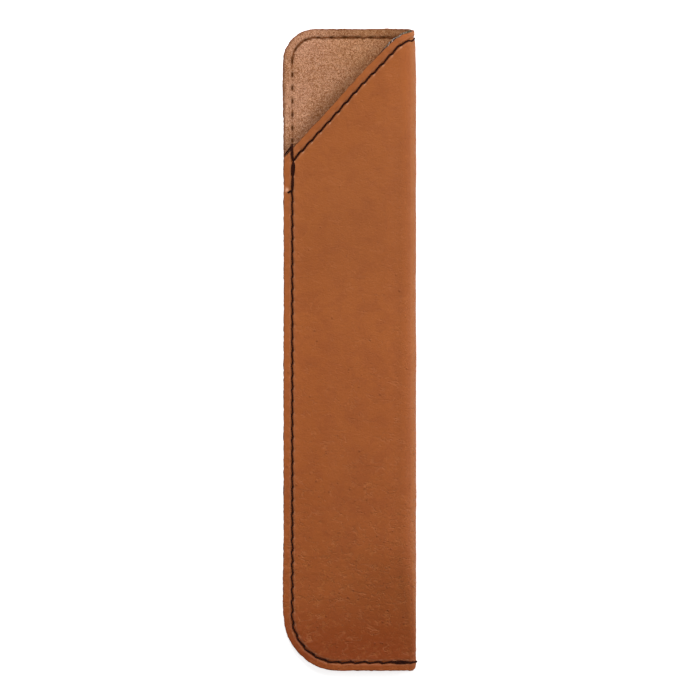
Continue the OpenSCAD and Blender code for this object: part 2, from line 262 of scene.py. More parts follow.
# the cut is ragged, its left edges wave slowly, and it is rounded off at the top of the fold
RAGGED = ((0.05, 2.4, 3, 3), (0.07, 0.62, 9, 2))  # height, size, seed, octaves
LEFT_WAVES = ((0.16, 67, 7), (-0.06, 12, 35), (0.15, -61, 9))  # height, place, width
FOLD_TOP_H, FOLD_TOP_U, FOLD_TOP_W, FOLD_TOP_Y = 0.36, 1.6, 2.8, 70
CUT_RAG = sum(h * layered(CUT_S / size, np.zeros(len(CUT)), seed, n) for h, size, seed, n in RAGGED)
on_left = ((CUT_TAG == BACK_CUT) | (CUT_TAG == FRONT_CUT)) & (np.abs(CUT_OUT[:, 0]) > 0.9)
CUT_RAG += np.where(on_left, sum(h * bell(CUT_Y - at, width) for h, at, width in LEFT_WAVES), 0)
CUT_RAG -= FOLD_TOP_H * bell(CUT_U - FOLD_TOP_U, FOLD_TOP_W) * (CUT_Y > FOLD_TOP_Y)


def smooth_ring(v):
    for _ in range(SMOOTH_ROUNDS):
        v = (np.roll(v, 1) + 2 * v + np.roll(v, -1)) / 4
    return v


# weights along the outline for the layers' edges: the mouth near the fold, its lip, and the back
on_mouth = CUT_TAG == MOUTH_CUT
by_fold = ease((CUT_U + 1) / 3) * (1 - ease((CUT_U - 8.5) / 4))
NEAR_FOLD = smooth_ring(np.where(on_mouth, by_fold, 0.0))
ON_LIP = smooth_ring(np.where(on_mouth & (CUT_U > 8), 1.0, 0.0))
ON_BACK = smooth_ring(np.where((CUT_TAG == BACK_CUT) & (CUT_U < -3), 1.0, 0.0))


def ring(offset):
    """The ragged outline in the flat, moved outwards by offset."""
    return CUT + CUT_OUT * (offset + CUT_RAG)[:, None]


# The two seams, in the flat
class Seam:
    """A line of stitches in the flat. holes are the places of its needle holes along it."""

    def __init__(self, points, count, first=()):
        self.points = points
        gaps = np.linalg.norm(np.diff(points, axis=0), axis=1)
        self.s = np.concatenate([[0], np.cumsum(gaps)])
        self.len = self.s[-1]
        start = first[-1] if first else 0.0
        self.holes = np.concatenate([first[:-1], np.linspace(start, self.len, count + 1)])
        self.count = len(self.holes) - 1

    def point(self, s):
        return np.stack([np.interp(s, self.s, self.points[:, k]) for k in (0, 1)], -1)

    def at(self, s):
        """The point at a distance along the seam, which goes on straight past its ends."""
        s = np.asarray(s, float)
        past = np.clip(s, 0, self.len)
        return self.point(past) + self.ahead(s) * (s - past)[..., None]

    def ahead(self, s, reach=0.15):
        """The seam's direction at a distance along it."""
        a = np.clip(np.asarray(s, float), reach, self.len - reach)
        d = self.point(a + reach) - self.point(a - reach)
        return d / np.linalg.norm(d, axis=-1)[..., None]

    def in_stitches(self, s):
        """A distance along the seam, as a place in stitches."""
        return np.interp(s, self.holes, np.arange(len(self.holes)))

    def along(self, a):
        """A place in stitches, as a distance along the seam."""
        return np.interp(a, np.arange(len(self.holes)), self.holes)


START_Y = HALF_L - float(mouth_drop(front_u(SEAM_X, HALF_L))) + LIP_OVERHANG


def mouth_route():
    """Up the back's left edge, along its top, round the fold and down the slant."""
    side_u, end_u = float(back_u(SEAM_X, HALF_L)), float(front_u(SEAM_X, HALF_L))
    turn_r, lead_r, side_top = TOP_R - INSET, LEAD_R - INSET, HALF_L - TOP_R
    pts = [(side_u, y) for y in np.arange(START_Y + 0.6, side_top, ROUTE_STEP)]
    for t in np.linspace(0, PI / 2, 90):
        pts.append((side_u + turn_r * (1 - math.cos(t)), side_top + turn_r * math.sin(t)))
    for u in np.arange(side_u + turn_r + ROUTE_STEP, 0, ROUTE_STEP):
        pts.append((u, HALF_L - INSET))
    for t in np.linspace(0, MOUTH_ANGLE, 80):
        pts.append((lead_r * math.sin(t), HALF_L - LEAD_R + lead_r * math.cos(t)))
    u0, y0 = pts[-1]
    for u in np.arange(u0 + ROUTE_STEP, end_u, ROUTE_STEP):
        pts.append((u, y0 - (u - u0) * math.tan(MOUTH_ANGLE)))
    pts = np.array(pts)
    pts[:, 1] += np.where(pts[:, 0] > 0, bow(pts[:, 0]), 0)
    return pts


def closing_route():
    """Down the left edge, round the corner and along the bottom, across the sleeve."""
    low_r, turn_y = BOTTOM_R - INSET, BOTTOM_R - HALF_L
    pts = [(SEAM_X, y) for y in np.arange(START_Y, turn_y, -ROUTE_STEP)]
    for t in np.linspace(0, PI / 2, 180):
        pts.append((SEAM_X + low_r * (1 - math.cos(t)), turn_y - low_r * math.sin(t)))
    for x in np.arange(BOTTOM_R - HALF_W + ROUTE_STEP, HALF_W - CLOSING_END, ROUTE_STEP):
        pts.append((x, INSET - HALF_L))
    return np.array(pts)


def closing_seam(to_flat):
    x, y = closing_route().T
    return Seam(np.stack([to_flat(x, y), y], -1), CLOSING_STITCHES, BACKTACK)


MOUTH = Seam(mouth_route(), MOUTH_STITCHES)
CLOSING_FRONT, CLOSING_BACK = closing_seam(front_u), closing_seam(back_u)
SEAMS = (MOUTH, CLOSING_FRONT, CLOSING_BACK)
MOUTH_SEAM = SEAMS.index(MOUTH)

# far: from the nearest seam. hole: along it to its nearest hole. side: signed distance across it
Near = namedtuple("Near", "far hole side seam")


def near_seam(points):
    """Where points lie by their nearest seam, the one of that number in SEAMS."""
    n = len(points)
    near = Near(np.full(n, OFF_SEAM), np.zeros(n), np.zeros(n), np.zeros(n, int))
    for k, seam in enumerate(SEAMS):
        q = seam.at(np.arange(0, seam.len, SEAM_SAMPLE))
        for a in range(0, n, CHUNK):
            p = points[a : a + CHUNK]
            d = (p[:, None, 0] - q[None, :, 0]) ** 2 + (p[:, None, 1] - q[None, :, 1]) ** 2
            i = d.argmin(1)
            rest = p - q[i]
            ahead = seam.ahead(i * SEAM_SAMPLE)
            s = i * SEAM_SAMPLE + (rest * ahead).sum(1)
            off = rest[:, 0] * ahead[:, 1] - rest[:, 1] * ahead[:, 0]
            dist = np.hypot(off, np.maximum(0, np.maximum(-s, s - seam.len)))
            better = dist < near.far[a : a + CHUNK]
            here = np.arange(a, a + len(p))[better]
            nearest = seam.along(np.round(seam.in_stitches(s)))
            near.far[here], near.hole[here] = dist[better], np.abs(s - nearest)[better]
            near.side[here], near.seam[here] = off[better], k
    return near


def edge_gap(points, loop):
    """Each point's distance to the nearest point of a loop."""
    gap = np.empty(len(points))
    for a in range(0, len(points), CHUNK):
        p = points[a : a + CHUNK]
        du, dy = p[:, None, 0] - loop[None, :, 0], p[:, None, 1] - loop[None, :, 1]
        gap[a : a + CHUNK] = np.hypot(du, dy).min(1)
    return gap


def grid(step, uneven=0.0):
    """Points over the whole flat, in staggered rows."""
    us = np.arange(U_LEFT - 1, U_RIGHT + 1, step)
    ys = np.arange(-HALF_L - 1, HALF_L + 1, step * ROW_SHARE)
    u, y = np.meshgrid(us, ys)
    u = u + (np.arange(len(ys)) % 2)[:, None] * step / 2
    p = np.stack([u.ravel(), y.ravel()], -1)
    return p + uneven * step * rng.uniform(-0.18, 0.18, p.shape)


def exposed(points):
    """How far a point of the back lies past the lip, seen from above: over 0 is bare suede."""
    x, _ = section(points[:, 0], points[:, 1])
    lip_u = front_u(x, HALF_L)
    past_lip = points[:, 1] - (HALF_L - mouth_drop(lip_u))
    return np.where(points[:, 0] < 0, past_lip, COVERED)


# Meshes
def make(name, verts, faces, smooth=True):
    me = bpy.data.meshes.new(name)
    me.from_pydata(np.asarray(verts).tolist(), [], faces)
    me.update()
    if smooth:
        me.polygons.foreach_set("use_smooth", [True] * len(me.polygons))
    o = bpy.data.objects.new(name, me)
    bpy.context.scene.collection.objects.link(o)
    return o


def value_attribute(o, name, values):
    a = o.data.attributes.new(name, "FLOAT", "POINT")
    a.data.foreach_set("value", np.asarray(values, np.float32))


def vector_attribute(o, name, values):
    a = o.data.attributes.new(name, "FLOAT_VECTOR", "POINT")
    a.data.foreach_set("vector", np.asarray(values, np.float32).ravel())


def filled(loop, inner):
    """Triangles over a loop and the points inside it, and which of their points the loop's are."""
    pts = [Vector(p) for p in np.concatenate([loop, inner]).tolist()]
    n = len(loop)
    edges = [(i, (i + 1) % n) for i in range(n)]
    verts, _, faces, origin, _, _ = delaunay_2d_cdt(pts, edges, [list(range(n))], 1, 1e-6)
    flat = np.array([tuple(v) for v in verts])
    where = np.full(n, -1)
    for i, o in enumerate(origin):
        for k in o:
            if k < n:
                where[k] = i
    faces = np.array(faces)
    used = np.unique(faces)
    renumber = np.full(len(flat), -1)
    renumber[used] = np.arange(len(used))
    return flat[used], renumber[faces], renumber[where]


LOOP_CLEAR = 0.16  # inner points stay this far from the outline
EDGE_SHARE = 0.6  # of a face's height, that its cut edge takes


def shell(name, edge, out_points, in_points, out_height, in_height):
    """A closed layer from its outer face to its inner one, with the profile of its cut edge.

    The faces get heights from functions of the flat. A row of the edge is an offset of the outline,
    what is added to it near the fold, on the lip and on the back, and the depth.
    """
    loops = [ring(a + b * NEAR_FOLD + c * ON_LIP + d * ON_BACK) for a, b, c, d, _ in edge]
    depths = [row[-1] for row in edge]
    top, bottom = depths[0], depths[-1]
    n = len(CUT)
    flat, tri, where = filled(loops[0], out_points[edge_gap(out_points, loops[0]) > LOOP_CLEAR])
    inside = in_points[edge_gap(in_points, loops[-1]) > LOOP_CLEAR]
    in_flat, in_tri, in_where = filled(loops[-1], inside)
    verts = [place(flat[:, 0], flat[:, 1], top - out_height(flat))]
    flats = [np.c_[flat, np.zeros(len(flat))]]
    faces = tri.tolist()
    base = len(flat)

    def join(upper, lower):
        for i in range(n):
            j = (i + 1) % n
            faces.append([int(upper[j]), int(upper[i]), int(lower[i]), int(lower[j])])

    previous = where
    for depth, loop in zip(depths[1:-1], loops[1:-1]):
        h = out_height(loop) * (1 - (depth - top) / (bottom - top)) * EDGE_SHARE
        verts.append(place(loop[:, 0], loop[:, 1], depth - h))
        flats.append(np.c_[loop, np.full(n, depth)])
        here = base + np.arange(n)
        join(previous, here)
        previous = here
        base += n
    verts.append(place(in_flat[:, 0], in_flat[:, 1], bottom + in_height(in_flat)))
    flats.append(np.c_[in_flat, np.full(len(in_flat), bottom)])
    join(previous, base + in_where)
    faces += (in_tri[:, ::-1] + base).tolist()
    o = make(name, np.concatenate(verts) * MM, faces)
    flats = np.concatenate(flats)
    vector_attribute(o, "flat", flats)
    return o, flats


# Heights of the leather and the suede
PUCKER_Y = 39.9  # of a small pucker beside the closing seam
PUCKER_U = float(front_u(-15.75, PUCKER_Y))
CREASES = ((0.06, 3.4, 21, 0.16), (0.05, 2.1, 41, 0.2))  # height, size, seed, width
# across a seam: pairs of height and width
SKIN_GROOVE = ((-0.18, 0.4), (-0.04, 1.2))
NAP_GROOVE = ((-0.12, 0.35), (-0.06, 0.8))


def from_pucker(flat):
    return np.hypot(flat[:, 0] - PUCKER_U, (flat[:, 1] - PUCKER_Y) * 0.8)


def wrinkled(u, y, size, seed, width):
    """Fine raised creases: lines where a noise crosses zero, in patches."""
    across = u / size + 0.5 * noise(u / 2.1, y / 2.1, seed + 3)
    n = layered(across, 1.5 * y / size + 0.25 * u / size, seed, 2)
    patch = ease(0.5 + 1.3 * noise(u / 6.5, y / 4.5, seed + 7))
    return patch * bell(n, width)


def skin_height(flat):
    """The skin's height outwards: more creased lower down, and its seams lie deeper on the back."""
    u, y = flat[:, 0], flat[:, 1]
    near = near_seam(flat)
    spot = np.hypot(near.far, near.hole)
    worn = 0.25 + 0.75 * ease((35 - y) / 100)
    soft = 0.05 * layered(u / 7, y / 9, 11, 2) + 0.02 * layered(u / 2.2, y / 2.6, 12, 2)
    for height, size, seed, width in CREASES:
        soft = soft + height * worn * wrinkled(u, y, size, seed, width)
    soft = soft + 0.17 * bell(from_pucker(flat), 0.4)
    dent = -0.25 * bell(np.hypot(near.far * 1.3, near.hole), 0.4) - 0.08 * bell(spot, 0.9)
    pillow = 0.1 * bell(np.abs(near.side) - 0.85, 0.4) * (1 - bell(near.hole, 0.8))
    edge = -0.04 * bell(edge_gap(flat, CUT), 0.4)
    front = soft + bells(near.far, SKIN_GROOVE) + dent + pillow * (near.far < 1.8) + edge
    bed = -0.44 * np.exp(-((near.far / 0.36) ** 4)) - 0.1 * bell(spot, 0.34)
    behind = -np.abs(soft) * 0.5 + bed + edge
    back = 1 - ease((u + U_BACK) / 2.5)
    return behind * back + front * (1 - back)


def buried(y):
    """1 down the left edge, where the nap hides the thread between its holes, 0 along the top."""
    return ease((73 - y) / 3)


def nap_height(flat):
    """The suede's height towards the pocket. Only the mouth's seam marks it."""
    u, y = flat[:, 0], flat[:, 1]
    near = near_seam(flat)
    open_nap = 1 - 0.55 * buried(y) * ease((near.hole - 0.5) / 0.4)
    warp = 0.35 * noise(u / 0.8, y / 0.8, 57)
    fuzz = 0.07 * layered(u / 0.62 + warp, y / 0.62 - warp, 51, 2)
    wide = 0.05 * layered(u / 5, y / 6, 55, 2)
    groove = bells(near.far, NAP_GROOVE) * open_nap
    groove = groove - 0.24 * bell(np.hypot(near.far * 2.2, near.hole), 0.6)
    return fuzz + wide + np.where(near.seam == MOUTH_SEAM, groove, 0)


def flush(flat):
    return np.zeros(len(flat))


def spread(step, low, high, front):
    """Points at a spacing, from low to high off the seams, on the front or on the back."""
    p = grid(step, 1)
    far = near_seam(p).far
    return p[(far >= low) & (far < high) & ((p[:, 0] > -3) == front)]


# The three layers

# each row: offset, what is added near the fold, on the lip and on the back, and depth
SKIN_EDGE = (
    (-0.13, -0.22, 0.0, 0.06, 0.0),
    (-0.05, -0.22, 0.0, 0.08, 0.05),
    (-0.01, -0.21, 0.0, 0.10, 0.17),
    (0.0, -0.20, 0.0, 0.13, 0.45),
    (0.0, -0.18, 0.0, 0.13, SKIN),
)
CORE_EDGE = (
    (-0.05, 0.14, 0.10, -0.06, SKIN),
    (-0.02, 0.24, 0.13, -0.10, SKIN + 0.06),
    (-0.02, 0.26, 0.13, -0.12, SKIN + CORE - 0.06),
    (-0.06, 0.20, 0.10, -0.12, SKIN + CORE),
)
LINING_EDGE = (
    (-0.05, 0.0, 0.0, -0.06, SKIN + CORE),
    (0.0, 0.08, 0.0, -0.08, SKIN + CORE + 0.1),
    (-0.03, 0.06, 0.0, -0.12, WALL - 0.1),
    (-0.12, 0.0, 0.0, -0.16, WALL),
)
# the skin's points: spacing, from and to which distance off the seams, and whether on the front
SKIN_SPREAD = (
    (0.2, 0, 1.2, True),
    (0.42, 1.3, 99, True),
    (0.26, 0, 0.9, False),
    (0.9, 1.1, 99, False),
)

skin_points = np.concatenate([spread(*row) for row in SKIN_SPREAD])
coarse = grid(1.6)
skin, skin_flat = shell("sleeve_outer_skin", SKIN_EDGE, skin_points, coarse, skin_height, flush)
core, _ = shell("sleeve_core_layer", CORE_EDGE, coarse, coarse, flush, flush)
# the suede is dense where it shows, and a little past the lip
nap = grid(0.18, 1)
plain = grid(0.9, 1)
lining_points = np.concatenate([nap[exposed(nap) > -3.0], plain[exposed(plain) < -3.3]])
lining, lining_flat = shell(
    "sleeve_suede_lining", LINING_EDGE, coarse, lining_points, flush, nap_height
)


def lining_dark_and_shadow(flat):
    """How dark the nap is: painted shade in and round the holes, darker under the thread, a dark
    rim at its edges, the lip's shadow painted on the suede past the lip, and a darker strip along
    the top.
    """
    u, y = flat[:, 0], flat[:, 1]
    near = near_seam(flat[:, :2])
    bare = exposed(flat)
    size = 0.7 + 0.16 * noise(u / 1.7, y / 1.7, 63)
    # painted shade in the needle holes, with a darker tint round them
    hole_dark = np.exp(-((np.hypot(near.far * 2.2, near.hole * 0.85) / size) ** 4))
    strand = 0.14 + 0.6 * ease(0.45 + 1.6 * noise(u / 0.9, y / 0.9, 67))
    strand = bell(near.far, 0.34) * strand * (1.4 - 0.7 * buried(y))
    spot = np.where(near.seam == MOUTH_SEAM, np.maximum(hole_dark, strand), 0)
    rim = 0.4 * bell(edge_gap(flat[:, :2], CUT), 0.35)
    near_fold = ease((u + 22) / 13)
    # the lip's shadow, painted on the bare suede past the lip, weaker towards the fold
    shade = 0.5 - 0.2 * near_fold - 0.1 * ease((-26 - u) / 5)
    lip = shade * ease(1 - bare / 6.2) * (bare > COVERED / 2)
    top = 0.32 * ease((y - 77.7) / 0.5) * ease((u + 30) / 12) * (1 - 0.6 * near_fold)
    return np.clip(spot + rim + lip + top, 0, 0.95)


def skin_glints(flat):
    """Painted highlights on the skin: a glint on the pucker, and the seams' rims where they catch
    the light, most at their holes.
    """
    near = near_seam(flat[:, :2])
    rim_glint = bell(np.hypot(near.side - 0.45, near.hole - 0.1), 0.22)
    rim_glint = rim_glint * np.where(near.seam == MOUTH_SEAM, 0.5, 0.2)
    rim_glint = rim_glint + 0.13 * bell(np.abs(near.side) - 0.52, 0.17)
    rim_glint = rim_glint * ease((flat[:, 0] - 2) / 2)
    return np.maximum(bell(from_pucker(flat), 0.4), rim_glint)


value_attribute(lining, "dark", lining_dark_and_shadow(lining_flat))
value_attribute(skin, "painted_glint", skin_glints(skin_flat))

# Threads
PLIES, SIDES = 3, 6
PLY_ORBIT, PLY_R, PLY_STEP = 0.27, 0.25, 0.26  # shares of the thread's diameter
NEEDLE_PITCH, BOBBIN_PITCH = 1.7, 1.1  # of the twist


def unit(v):
    return v / np.linalg.norm(v, axis=1)[:, None]


class Threads:
    """Twisted threads, gathered into one piece. tone differs from ply to ply."""

    def __init__(self):
        self.verts, self.faces, self.count, self.tone = [], [], 0, []

    def tube(self, path, radius, tone):
        """A closed tube along points."""
        n = len(path)
        ahead = unit(np.gradient(path, axis=0))
        # a direction across the path, with another where the first lies too close to it
        sideways = np.cross(ahead, [0.31, 0.17, 0.93])
        bad = np.linalg.norm(sideways, axis=1) < 0.15
        sideways[bad] = np.cross(ahead[bad], [0.9, 0.1, 0.2])
        sideways = unit(sideways)
        over = np.cross(sideways, ahead)
        t = 2 * PI * np.arange(SIDES) / SIDES
        round_it = np.cos(t)[:, None] * sideways[:, None] + np.sin(t)[:, None] * over[:, None]
        first = self.count
        last = first + (n - 1) * SIDES
        for lo in range(first, last, SIDES):
            for j in range(SIDES):
                m = (j + 1) % SIDES
                self.faces.append([lo + j, lo + m, lo + SIDES + m, lo + SIDES + j])
        self.faces.append(list(range(first, first + SIDES))[::-1])
        self.faces.append(list(range(last, last + SIDES)))
        self.verts.append((path[:, None] + radius * round_it).reshape(-1, 3))
        self.tone.append(np.full(n * SIDES, tone))
        self.count += n * SIDES

    def twisted(self, path, normal, d, pitch=NEEDLE_PITCH, phase=0.0):
        """A thread of diameter d: plies wound along a path with normals."""
        s = np.concatenate([[0], np.cumsum(np.linalg.norm(np.diff(path, axis=0), axis=1))])
        at = np.linspace(0, s[-1], max(6, int(s[-1] / (d * PLY_STEP))))
        p = np.stack([np.interp(at, s, path[:, k]) for k in range(3)], -1)
        up = np.stack([np.interp(at, s, normal[:, k]) for k in range(3)], -1)
        ahead = unit(np.gradient(p, axis=0))
        side = np.cross(ahead, up)
        side /= np.maximum(1e-6, np.linalg.norm(side, axis=1))[:, None]
        over = np.cross(side, ahead)
        for k in range(PLIES):
            turn = phase + 2 * PI * (at / pitch + k / PLIES)
            off = np.cos(turn)[:, None] * over + np.sin(turn)[:, None] * side
            self.tube(p + d * PLY_ORBIT * off, d * PLY_R, float(rng.uniform(-1, 1)))

    def piece(self, name):
        o = make(name, np.concatenate(self.verts) * MM, self.faces)
        value_attribute(o, "tone", np.concatenate(self.tone))
        return o


def on_face(u, y, depth, inside=False):
    """Points at a depth, and the directions off the outer face, or off the suede if inside."""
    at = place(u, y, depth)
    return at, unit(place(u, y, depth + (0.05 if inside else -0.05)) - at)


def valued(f, a):
    return f(a) if callable(f) else f


STITCH_STEPS, JOG, UNEVEN = 26, 0.16, 0.25


def run(seam, ends, lean, height, dip, depth=0.0, sink=0.13, bulges=None, shift=None):
    """A thread along a seam between two places in stitches, leaning and dipping at its holes.

    lean and height are numbers or functions of the place in stitches. Over a depth of 0 the thread
    lies on the suede. bulges and shift, for a backtack, give how far each stitch bows sideways and
    how far each hole lies off the line.
    """
    first, last = ends
    inside = depth > 0
    a = np.linspace(first, last, int((last - first) * STITCH_STEPS) + 1)
    f, number = a % 1, np.minimum(np.floor(a).astype(int), seam.count - 1)
    seed = int(first * 7) + seam.count
    swing, rise = np.random.default_rng(seed).uniform(-1, 1, (2, seam.count + 1))
    across = -1 + 2 * (f - JOG) / (1 - 2 * JOG)
    across = np.where(f > 1 - JOG, np.sin(PI / 2 * (1 - f) / JOG), across)
    across = np.where(f < JOG, -np.sin(PI / 2 * f / JOG), across)
    w = valued(lean, a) * across * (1 + UNEVEN * swing[number])
    if bulges is not None:
        index = np.clip(number - int(first), 0, len(bulges) - 1)
        w = np.asarray(bulges)[index] * np.sin(PI * f) ** 0.8
    if shift is not None:
        w = w + np.interp(a, np.arange(len(shift)) + int(first), shift)
    s = seam.along(a)
    if seam is MOUTH and not inside:  # the last stitch before the fold sags
        past_fold = seam.at(s)[:, 0]
        w = w + 0.3 * bell(past_fold - 2.6, 1.2) + 0.25 * bell(past_fold - 0.6, 2.2)
    h = valued(height, a) + 0.02 * rise[number] - dip * bell(np.minimum(f, 1 - f), sink)
    ahead = seam.ahead(s)
    q = seam.at(s) + np.stack([ahead[:, 1], -ahead[:, 0]], -1) * w[:, None]
    return on_face(q[:, 0], q[:, 1], depth + (h if inside else -h), inside)


def mouth_flush(a):
    """1 where the mouth's seam lies on the back, 0 on the front."""
    return 1 - ease((MOUTH.at(MOUTH.along(a))[:, 0] + U_BACK + 1.5) / 5)


def mouth_lean(a):
    return 0.12 - 0.03 * mouth_flush(a)


def mouth_height(a):
    at_fold = bell(MOUTH.at(MOUTH.along(a))[:, 0], 1.8)
    return 0.08 - 0.4 * mouth_flush(a) - 0.14 * at_fold


def mouth_bobbin_height(a):
    return -0.12 - 0.07 * buried(MOUTH.at(MOUTH.along(a))[:, 1])


def closing_lean(a):
    return 0.11 + 0.07 * ease((a - 27) / 8)


mouth_needle, mouth_bobbin, closing_needle, closing_bobbin = (Threads() for _ in range(4))
whole = (0, MOUTH.count)
mouth_needle.twisted(*run(MOUTH, whole, mouth_lean, mouth_height, 0.27), NEEDLE_D * 0.94)
mouth_bobbin.twisted(
    *run(MOUTH, whole, -0.15, mouth_bobbin_height, 0.5, WALL, 0.17), BOBBIN_D, BOBBIN_PITCH
)

# the closing seam, with three runs over its first three stitches and two over its last
START, END = len(BACKTACK) - 1, CLOSING_FRONT.count
# each run's bulges, one a stitch or one in all, and its height
START_RUNS = (((-0.42, -0.34, -0.16), 0.1), ((-0.06, 0.34, 0.16), 0.04), ((-0.24, 0.0, 0.02), 0.13))
END_RUNS = ((0.26, 0.16), (-0.24, 0.1))
START_SHIFT = (0, 0.3, 0.12, 0)  # of the holes, off the line
PHASE = 30  # turns each run's twist by its height
closing_needle.twisted(*run(CLOSING_FRONT, (START, END), closing_lean, 0.06, 0.24), NEEDLE_D * 0.9)
for bulges, lift in START_RUNS:
    path = run(
        CLOSING_FRONT, (0, START), closing_lean, lift, 0.3, bulges=bulges, shift=START_SHIFT
    )
    closing_needle.twisted(*path, NEEDLE_D * 0.86, phase=lift * PHASE)
for bulge, lift in END_RUNS:
    bulges = (bulge * 0.4, bulge)
    path = run(CLOSING_FRONT, (END - 1.15, END), closing_lean, lift, 0.25, bulges=bulges)
    closing_needle.twisted(*path, NEEDLE_D * 0.88, phase=lift * PHASE)
# the last stitch goes round the fold, over a shorter one beside it
SEAM_Y = INSET - HALF_L
WRAP_POINTS = 26
# where each wrap ends, how far it drifts along Y, and its share of the thread's diameter
WRAPS = ((-U_BACK * 0.42, 0.25, 1.0), (float(front_u(HALF_W - 0.6, SEAM_Y)), -0.22, 0.9))
for wrap_end, drift, share in WRAPS:
    u = np.linspace(float(front_u(HALF_W - 2.1, SEAM_Y)), wrap_end, WRAP_POINTS)
    t = np.linspace(0, 1, WRAP_POINTS)
    risen = 1 - (1 - np.minimum(1, np.minimum(t, 1 - t) / 0.14)) ** 2.4
    # from 0.4 below the face up to 0.08 above it, and down again
    path = on_face(u, SEAM_Y + drift * t, 0.4 - 0.48 * risen)
    closing_needle.twisted(*path, NEEDLE_D * share)
# the backtack's cut ends: one points to the edge; one lies on the suede along the lip, a dark
# thread in the place of the lip's shadow line
t = np.linspace(0, 1, 14)
u, y = CLOSING_FRONT.at(CLOSING_FRONT.along(START))
path = on_face(u + 1.15 * t, y - 0.08 - 0.62 * t, 0.4 - 0.6 * np.minimum(1, t / 0.3) + 0.12 * t)
closing_needle.twisted(*path, NEEDLE_D * 0.95)
# a dark thread put where the lip's shadow line falls
LIP_SHADOW_THREAD = np.array(
    [
        (-14.25, 51.35, 2.2),
        (-14.45, 50.95, 1.9),
        (-14.95, 50.45, 1.5),
        (-15.6, 49.6, 1.42),
        (-16.4, 48.55, 1.4),
    ]
)
fine = np.linspace(0, len(LIP_SHADOW_THREAD) - 1, 24)
path = np.stack([np.interp(fine, np.arange(len(LIP_SHADOW_THREAD)), LIP_SHADOW_THREAD[:, k]) for k in range(3)], -1)
closing_needle.twisted(path, np.tile([0.0, 0, 1], (len(path), 1)), NEEDLE_D * 0.66)
closing_bobbin.twisted(
    *run(CLOSING_BACK, (0, END), -0.08, -0.19, 0.22), BOBBIN_D, BOBBIN_PITCH
)

pieces = [
    (skin, "outer_skin", "outer_skin"),
    (core, "core_layer", "core_layer"),
    (lining, "suede_lining", "suede_lining"),
]
for threads, node, slot in (
    (mouth_needle, "mouth_needle_thread", "needle_thread"),
    (mouth_bobbin, "mouth_bobbin_thread", "bobbin_thread"),
    (closing_needle, "closing_needle_thread", "needle_thread"),
    (closing_bobbin, "closing_bobbin_thread", "bobbin_thread"),
):
    pieces.append((threads.piece("sleeve_" + node), node, slot))

for o, node, slot in pieces:
    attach(o, "root")
    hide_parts(node)


# Materials
def linear(r, g, b):
    """A colour as it shows, 0 to 255, as the shader takes it."""
    parts = (((c / 255 + 0.055) / 1.055) ** 2.4 if c > 10 else c / 255 / 12.92 for c in (r, g, b))
    return (*parts, 1.0)


WHITE = (1, 1, 1, 1)
MIX_A, MIX_B, MIX_RESULT = 6, 7, 2  # the Mix node's colour sockets, by number


class Nodes:
    """A node tree, with short ways to add nodes to it."""

    def __init__(self, tree):
        self.tree = tree
        tree.nodes.clear()

    def add(self, kind, **values):
        node = self.tree.nodes.new(kind)
        for key, value in values.items():
            setattr(node, key, value)
        return node

    def put(self, socket, value):
        if hasattr(value, "node"):
            self.tree.links.new(value, socket)
        else:
            socket.default_value = value

    def fill(self, node, **values):
        """Sets a node's sockets by name, with _ for a space, and returns the node."""
        for key, value in values.items():
            self.put(node.inputs[key.replace("_", " ")], value)
        return node

    def math(self, kind, a, b=0.0):
        n = self.add("ShaderNodeMath", operation=kind)
        self.put(n.inputs[0], a)
        self.put(n.inputs[1], b)
        return n.outputs[0]

    def plus(self, a, b):
        return self.math("ADD", a, b)

    def times(self, first, *others):
        for other in others:
            first = self.math("MULTIPLY", first, other)
        return first

    def ramp(self, value, low, high, a=0.0, b=1.0):
        """a at low, b at high, with a smooth way between."""
        n = self.add("ShaderNodeMapRange", interpolation_type="SMOOTHSTEP")
        self.fill(n, Value=value, From_Min=low, From_Max=high, To_Min=a, To_Max=b)
        return n.outputs[0]

    def background_seen(self):
        """1 for rays that see the background, straight or in a gloss, 0 for those that light."""
        path = self.add("ShaderNodeLightPath").outputs
        seen = self.math("MAXIMUM", path["Is Camera Ray"], path["Is Glossy Ray"])
        return self.math("MAXIMUM", seen, path["Is Transmission Ray"])


